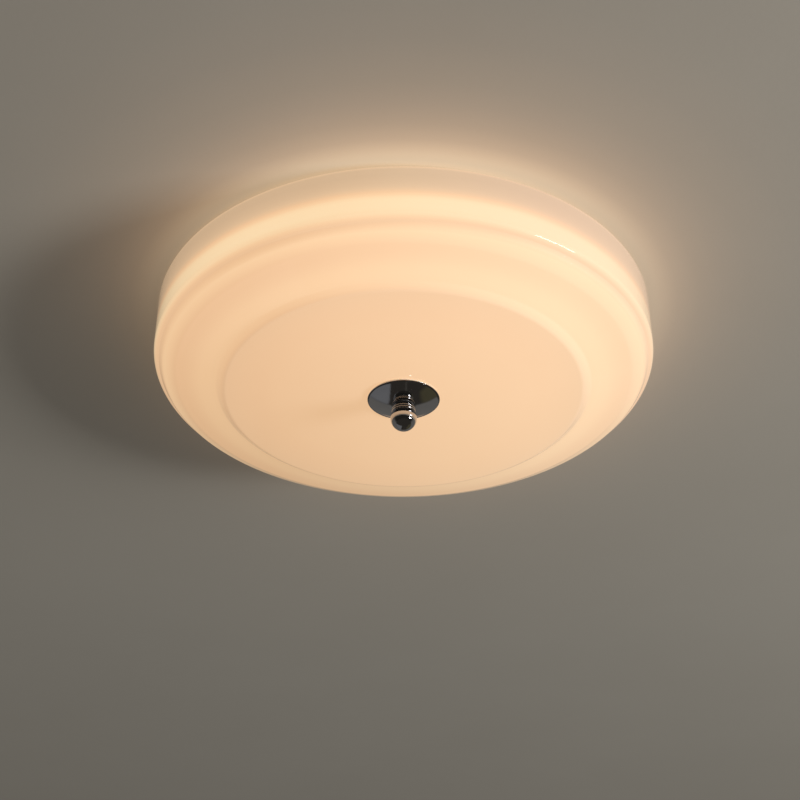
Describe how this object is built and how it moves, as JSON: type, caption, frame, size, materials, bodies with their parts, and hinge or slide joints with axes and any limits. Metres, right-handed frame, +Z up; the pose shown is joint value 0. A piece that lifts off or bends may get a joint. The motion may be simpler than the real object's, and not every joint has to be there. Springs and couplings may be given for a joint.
{
  "type": "flush mount ceiling light",
  "caption": "Flush mount ceiling light: stepped opal glass drum shade under a shallow pan, held by a small dished cap and ball finial.",
  "frame": {"origin": "centre of the mounting strap's slots on the ceiling plane, on the axis of the light", "axes": "+Z up into the ceiling along the axis of the light, -Y towards the side that the picture is taken from, X across"},
  "size_m": [0.4, 0.4, 0.1014],
  "materials": {
    "zinc_steel": "zinc plated, satin",
    "white_enamel": "white powder coat, satin",
    "opal_glass": "fire polished opal glass, lit warm from inside",
    "polished_chrome": "polished",
    "brass": "turned",
    "clear_silicone": "translucent soft silicone",
    "nylon": "black nylon",
    "white_plastic": "moulded",
    "white_solder_mask": "white coated aluminium board",
    "led_phosphor": "yellow phosphor",
    "clear_lens": "clear moulded lens",
    "black_rubber": "moulded",
    "lead_brown": "insulation",
    "lead_blue": "insulation",
    "lead_green": "green and yellow insulation",
    "lead_red": "insulation",
    "lead_black": "insulation"
  },
  "bodies": {
    "ceiling_part": {"mounting_strap": "zinc_steel", "strap_nut": "zinc_steel", "centre_rod": "zinc_steel", "pan_washer": "zinc_steel", "pan_nut": "zinc_steel", "ceiling_pan": "white_enamel", "pan_screws": "zinc_steel", "cable_grommet": "black_rubber", "earth_screw": "brass", "earth_lug": "brass", "gear_tray": "white_enamel", "tray_screws": "zinc_steel", "tray_washer": "zinc_steel", "tray_nut": "zinc_steel", "driver_case": "white_plastic", "driver_lid": "white_plastic", "driver_screws": "zinc_steel", "terminal_block": "white_plastic", "terminal_screws": "brass", "block_screws": "zinc_steel", "led_board": "white_solder_mask", "led_chips": "led_phosphor", "led_lenses": "clear_lens", "board_screws": "zinc_steel", "board_connector": "white_plastic", "tray_grommet": "black_rubber", "lead_live": "lead_brown", "lead_neutral": "lead_blue", "lead_earth": "lead_green", "lead_positive": "lead_red", "lead_negative": "lead_black", "stop_nut": "zinc_steel", "stop_washer": "zinc_steel"},
    "shade": {"glass_shade": "opal_glass", "hole_bushing": "clear_silicone", "lower_gasket": "clear_silicone"},
    "cap": {"cover_cap": "polished_chrome", "cap_washer": "nylon"},
    "finial": {"ball_finial": "polished_chrome", "finial_insert": "brass"}
  },
  "joints": [
    {"name": "shade_off", "type": "slide", "parent": "ceiling_part", "child": "shade", "axis": [0, 0, -1], "range_m": [0, 0.11]},
    {"name": "cap_lower", "type": "slide", "parent": "shade", "child": "cap", "axis": [0, 0, -1], "range_m": [0, 0.0125]},
    {"name": "finial_turn", "type": "hinge", "parent": "cap", "child": "finial", "pos_m": [0, 0, -0.0909], "axis": [0, 0, -1], "range_deg": [0, 3600]}
  ],
  "couplings": [
    {"joint": "finial_turn", "follows": "cap_lower", "rad_per_m": 5026.5}
  ]
}
